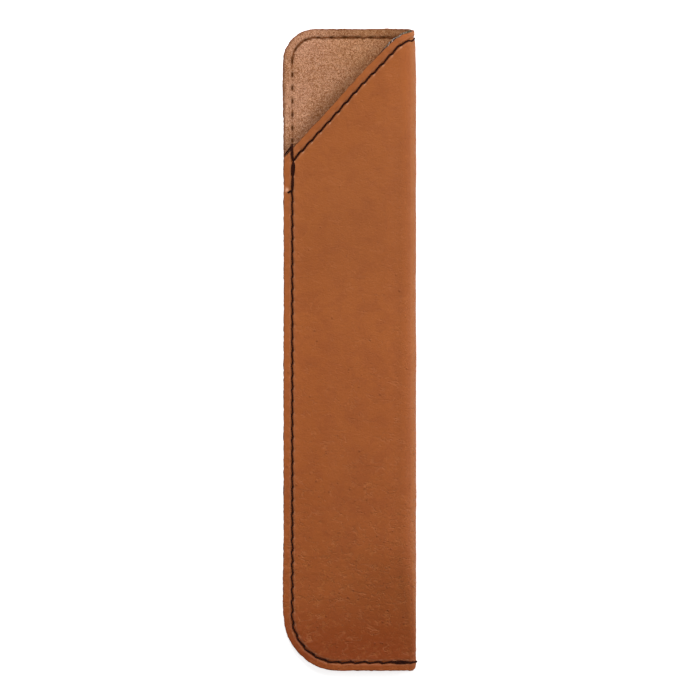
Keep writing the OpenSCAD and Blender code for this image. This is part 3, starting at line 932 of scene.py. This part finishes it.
class Surface(Nodes):
    """A material of one Principled shader. Its patterns are laid out in the flat."""

    def __init__(self, name):
        self.material = bpy.data.materials.new(name)
        self.material.use_nodes = True
        super().__init__(self.material.node_tree)
        self.shader = self.add("ShaderNodeBsdfPrincipled")
        self.fill(self.add("ShaderNodeOutputMaterial"), Surface=self.shader.outputs[0])

    def attribute(self, name, output="Fac"):
        return self.add("ShaderNodeAttribute", attribute_name=name).outputs[output]

    def flat(self, scale=(1, 1, 1)):
        vector = self.attribute("flat", "Vector")
        return self.fill(self.add("ShaderNodeMapping"), Vector=vector, Scale=scale).outputs[0]

    def axes(self):
        return self.fill(self.add("ShaderNodeSeparateXYZ"), Vector=self.flat()).outputs

    def noise(self, vector, scale, detail, rough=0.5, warp=0.0):
        n = self.add("ShaderNodeTexNoise")
        self.fill(n, Vector=vector, Scale=scale, Detail=detail, Roughness=rough, Distortion=warp)
        return n.outputs["Fac"]

    def band(self, value, rise, fall):
        """1 between two ramps, each given as where it is 0 and where it is 1."""
        return self.times(self.ramp(value, *rise), self.ramp(value, *fall))

    def lines(self, vector, scale, warp, width, patches):
        """Thin lines where a noise crosses its middle."""
        off = self.math("SUBTRACT", self.noise(vector, scale, 2, 0.5, warp), 0.5)
        return self.times(self.ramp(self.math("ABSOLUTE", off), width, 0.0), patches)

    def pits(self, vector, scale, rim, floor, patches):
        n = self.fill(self.add("ShaderNodeTexVoronoi", feature="F1"), Vector=vector, Scale=scale)
        return self.times(self.ramp(n.outputs["Distance"], rim, floor), patches)

    def mix(self, factor, a, b, kind="MIX"):
        n = self.add("ShaderNodeMix", data_type="RGBA", blend_type=kind)
        for i, value in ((0, factor), (MIX_A, a), (MIX_B, b)):
            self.put(n.inputs[i], value)
        return n.outputs[MIX_RESULT]

    def tinted(self, base, *tints):
        """base with tints laid over it in turn, each a factor and a colour."""
        for factor, colour in tints:
            base = self.mix(factor, base, linear(*colour))
        return base

    def finish(self, base, rough, specular, relief, strength, distance):
        """Sets the shader. The relief's distance is in metres."""
        n = self.add("ShaderNodeBump")
        self.fill(n, Height=relief, Strength=strength, Distance=distance)
        self.fill(
            self.shader,
            Base_Color=base,
            Roughness=rough,
            Specular_IOR_Level=specular,
            Normal=n.outputs[0],
        )
        return self.material


def leather():
    m = Surface("caramel_leather")
    v = m.flat()
    u, y, depth = m.axes()
    wide = m.noise(v, 0.035, 3)
    mid = m.noise(v, 0.22, 4, 0.55, 0.6)
    fine = m.noise(v, 2.4, 3, 0.65)

    # creases and pits in soft patches, and lower down shorter creases and more pits
    patches = m.times(m.ramp(m.noise(v, 0.3, 3, 0.6), 0.42, 0.62), m.ramp(y, 45, -60, 0.35, 1.0))
    creases = m.lines(m.flat((0.8, 1.25, 1)), 0.34, 0.7, 0.035, patches)
    patches = m.times(m.ramp(m.noise(v, 0.3, 2), 0.5, 0.56), m.ramp(y, 60, 0, 0.4, 1))
    pits = m.pits(v, 0.42, 0.16, 0.04, patches)
    low = m.ramp(y, -15, -55, 0.22, 1)
    patches = m.times(m.ramp(m.noise(v, 0.55, 2, 0.6), 0.48, 0.58), low)
    patches = m.times(patches, m.ramp(y, -60, -74, 1, 0.6))
    low_creases = m.lines(m.flat((0.85, 1.2, 1)), 0.7, 1.1, 0.07, patches)
    patches = m.times(m.ramp(m.noise(v, 0.36, 2), 0.46, 0.52), low)
    low_pits = m.pits(v, 0.55, 0.21, 0.05, patches)

    # painted shade: darker and redder towards the bottom, less so below the seam
    bottom = m.plus(m.ramp(y, -10, -48, 0, 0.25), m.ramp(y, -58, -76, 0, 0.65))
    bottom = m.times(bottom, m.ramp(y, -78.2, -76.8, 0.58, 1))
    # along the fold: painted shade beside it, a painted highlight where the sheet bends, and
    # painted shade, more saturated, on its side
    beside = m.times(m.band(u, (11, 5), (3, 3.8)), m.ramp(y, 68, 50, 0.2, 1), 0.36)
    fold_highlight = m.times(m.band(u, (3.7, 2.7), (0.7, 1.5)), 0.4)
    fold_side_shade = m.times(m.band(u, (1.7, 0.4), (-7, -3)), 0.4)
    base = m.tinted(
        m.mix(m.ramp(wide, 0.35, 0.65), linear(169, 93, 44), linear(163, 88, 41)),
        (m.ramp(mid, 0.42, 0.66, 0, 0.5), (154, 81, 41)),
        (m.ramp(fine, 0.55, 0.7, 0, 0.35), (146, 75, 36)),
        (m.ramp(fine, 0.45, 0.32, 0, 0.35), (180, 102, 56)),
        (m.ramp(y, -8, 35, 0, 0.24), (140, 84, 44)),
        # painted shade towards the bottom
        (bottom, (132, 58, 20)),
        # painted shade beside the fold, a painted highlight on its bend and painted shade on its
        # side
        (beside, (145, 79, 39)),
        (fold_highlight, (172, 110, 62)),
        (fold_side_shade, (166, 86, 26)),
        # painted highlight on the creases' raised ridges, and painted shade in the pits
        (m.times(creases, 0.34), (184, 112, 68)),
        (m.times(low_creases, 0.36), (182, 108, 54)),
        (m.times(pits, 0.2), (118, 58, 26)),
        (m.times(low_pits, 0.28), (108, 48, 18)),
        (m.ramp(depth, 0.02, 0.3, 0, 0.8), (128, 66, 38)),  # the cut's edge
        # painted highlight: the glint on the pucker and on the seams' rims
        (m.attribute("painted_glint"), (232, 172, 136)),
    )
    relief = m.times(m.noise(m.flat((0.8, 1.25, 1)), 1.3, 4, 0.6, 0.8), 0.5)
    for part, height in ((creases, 0.35), (low_creases, 0.28), (pits, -0.6), (low_pits, -0.5)):
        relief = m.plus(relief, m.times(part, height))
    return m.finish(base, m.ramp(mid, 0.35, 0.65, 0.44, 0.54), 0.12, relief, 0.8, 0.0003)


def suede():
    m = Surface("tan_suede")
    v = m.flat()
    wide = m.noise(v, 0.12, 3)
    nap = m.noise(v, 1.55, 3, 0.6, 2.6)
    fine_nap = m.noise(m.flat((1.2, 0.8, 1)), 2.6, 2, 0.6, 1.8)
    base = m.tinted(
        m.mix(m.ramp(wide, 0.35, 0.65), linear(196, 140, 108), linear(180, 124, 87)),
        (m.ramp(nap, 0.51, 0.6, 0, 0.85), (222, 170, 134)),
        (m.ramp(nap, 0.48, 0.4, 0, 0.9), (138, 84, 50)),
        (m.ramp(fine_nap, 0.45, 0.36, 0, 0.6), (120, 70, 40)),
        (m.ramp(fine_nap, 0.56, 0.64, 0, 0.5), (222, 176, 148)),
    )
    yellower = m.ramp(m.axes()["X"], -30, -14)  # towards the fold
    base = m.mix(yellower, base, (1, 0.97, 0.84, 1), "MULTIPLY")
    # painted shade: the lip's shadow and the shade in the holes, with the suede's other dark marks
    base = m.tinted(base, (m.attribute("dark"), (78, 38, 2)))
    return m.finish(base, 0.95, 0.05, m.plus(nap, m.times(fine_nap, 0.7)), 0.7, 0.0003)


def fibre_core():
    m = Surface("grey_core")
    u = m.axes()["X"]
    speck = m.noise(m.flat(), 1.7, 3, 0.65, 0.8)
    fibre = m.noise(m.flat((1, 1, 3)), 2.1, 3, 0.6, 1.5)
    bare = m.tinted(
        m.mix(m.ramp(speck, 0.46, 0.54), linear(40, 26, 14), linear(124, 98, 72)),
        (m.ramp(fibre, 0.53, 0.57, 0, 0.85), (214, 198, 194)),
        (m.ramp(u, 7, 4, 0, 0.6), (84, 78, 52)),
    )
    # away from the mouth near the fold, the edge is stained as brown as the skin
    stained = m.mix(m.ramp(u, 2, 5), linear(124, 66, 40), linear(58, 30, 14))
    base = m.mix(m.band(u, (0, 2), (11.5, 8.5)), stained, bare)
    return m.finish(base, 0.95, 0.1, fibre, 0.8, 0.0002)


def thread(name, dark, light, rough):
    m = Surface(name)
    where = m.add("ShaderNodeTexCoord").outputs["Object"]  # in metres
    fray = m.noise(where, 4200, 3, 0.6)
    base = m.tinted(
        linear(*dark),
        (m.ramp(m.attribute("tone"), -1, 1, 0.0, 0.5), light),
        (m.ramp(fray, 0.55, 0.7, 0, 0.7), light),
    )
    return m.finish(base, rough, 0.08, fray, 0.5, 0.00006)


looks = {
    "outer_skin": leather(),
    "core_layer": fibre_core(),
    "suede_lining": suede(),
    "needle_thread": thread("black_thread", (30, 8, 3), (74, 30, 16), 0.75),
    "bobbin_thread": thread("brown_thread", (116, 64, 32), (166, 110, 74), 0.8),
}
for o, _, slot in pieces:
    o.data.materials.append(looks[slot])

# Floor, lights, camera, in metres
FLOOR_HALF, FLOOR_Z, FLOOR_COLOR, FLOOR_GLOW = 2.5, -0.00003, (0.8, 0.8, 0.8, 1), 0.72
WORLD_LIGHT = 0.25
# each lamp's place, what it points at, its size and its power
LAMPS = {
    "key": ((0.02, 0.38, 0.48), (0, 0.05, 0), (0.5, 0.3), 2.85),
    "right": ((0.75, 0.1, 0.14), (0, 0.02, 0), (0.25, 0.8), 4.0),
    "left": ((-0.7, 0.0, 0.45), (0, 0, 0), (0.5, 0.9), 0.9),
}
VIEW_HEIGHT, VIEW_WIDTH = 1.0, 0.1746

corners = ((-1, -1), (1, -1), (1, 1), (-1, 1))
corners = [(x * FLOOR_HALF, y * FLOOR_HALF, FLOOR_Z) for x, y in corners]
floor = make("floor", corners, [[0, 1, 2, 3]], False)
floor_material = bpy.data.materials.new("pale_floor")
floor_material.use_nodes = True
n = Nodes(floor_material.node_tree)
pale = n.fill(n.add("ShaderNodeBsdfDiffuse"), Color=FLOOR_COLOR)
glow = n.times(n.background_seen(), FLOOR_GLOW)
glow = n.fill(n.add("ShaderNodeEmission"), Color=WHITE, Strength=glow)
both = n.add("ShaderNodeAddShader")
n.put(both.inputs[0], pale.outputs[0])
n.put(both.inputs[1], glow.outputs[0])
n.fill(n.add("ShaderNodeOutputMaterial"), Surface=both.outputs[0])
floor.data.materials.append(floor_material)

for name, (spot, target, size, power) in LAMPS.items():
    light = bpy.data.lights.new(name, "AREA")
    light.shape, light.energy = "RECTANGLE", power
    light.size, light.size_y = size
    o = bpy.data.objects.new(name, light)
    bpy.context.scene.collection.objects.link(o)
    o.location = spot
    o.rotation_euler = (Vector(target) - Vector(spot)).to_track_quat("-Z", "Y").to_euler()

world = bpy.data.worlds.new("soft")
world.use_nodes = True
n = Nodes(world.node_tree)
light = n.fill(n.add("ShaderNodeMapRange"), Value=n.background_seen(), To_Min=WORLD_LIGHT)
sky = n.fill(n.add("ShaderNodeBackground"), Color=WHITE, Strength=light.outputs[0])
n.fill(n.add("ShaderNodeOutputWorld"), Surface=sky.outputs[0])
bpy.context.scene.world = world

camera = bpy.data.cameras.new("camera")
camera.type = "ORTHO"
camera.ortho_scale = VIEW_WIDTH
camera.clip_start, camera.clip_end = 0.01, 10
o = bpy.data.objects.new("camera", camera)
bpy.context.scene.collection.objects.link(o)
o.location = (0, 0, VIEW_HEIGHT)
bpy.context.scene.camera = o
bpy.context.scene.view_settings.view_transform = "Standard"
